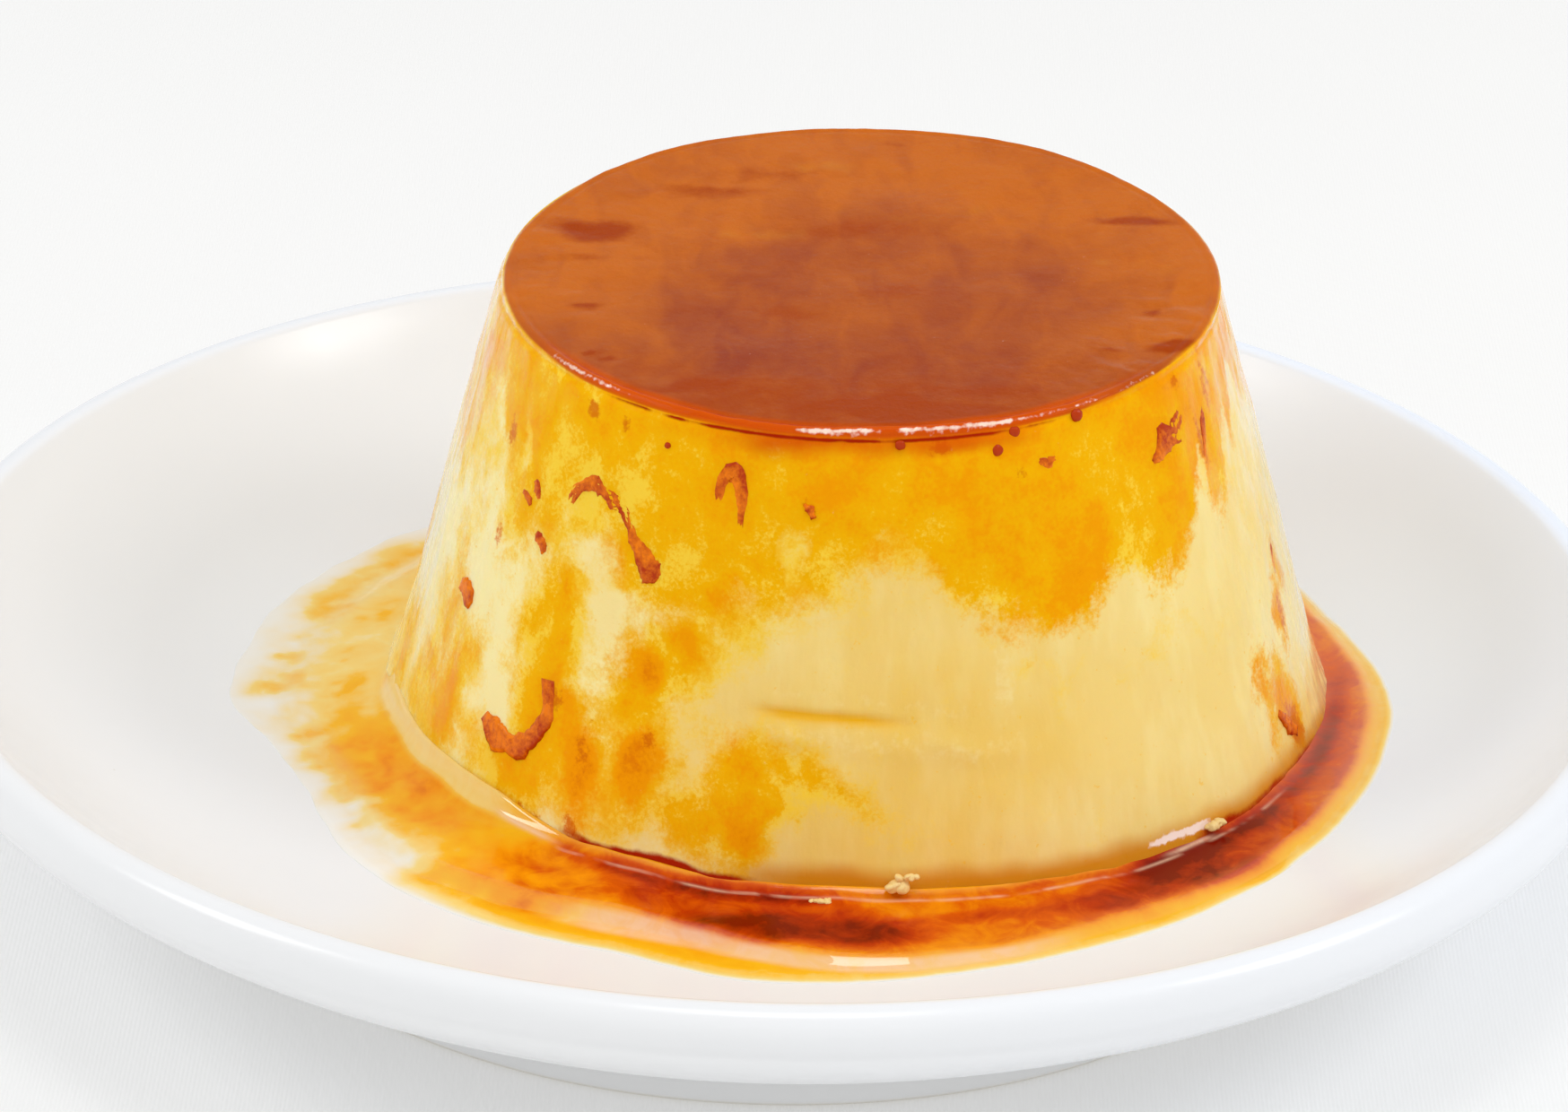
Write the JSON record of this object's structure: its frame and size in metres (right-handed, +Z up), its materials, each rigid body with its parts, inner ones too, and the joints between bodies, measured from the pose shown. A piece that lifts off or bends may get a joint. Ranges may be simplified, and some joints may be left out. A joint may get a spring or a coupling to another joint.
{
  "type": "creme caramel flan on a plate",
  "caption": "Creme caramel flan turned out of its mould onto a round white coupe plate, standing in a pool of caramel sauce.",
  "frame": {"origin": "the middle of the plate's foot ring, on the table", "axes": "+Z up along the plate's axis; front is -Y, the side where the pool of caramel is widest"},
  "size_m": [0.1436, 0.1436, 0.0491],
  "materials": {
    "porcelain": "glossy white glaze",
    "custard": "baked custard, wet and smooth, with a caramel coloured top",
    "caramel": "clear liquid caramel, glossy"
  },
  "bodies": {
    "root": {"plate": "porcelain", "custard": "custard", "caramel_sauce": "caramel"}
  },
  "joints": []
}
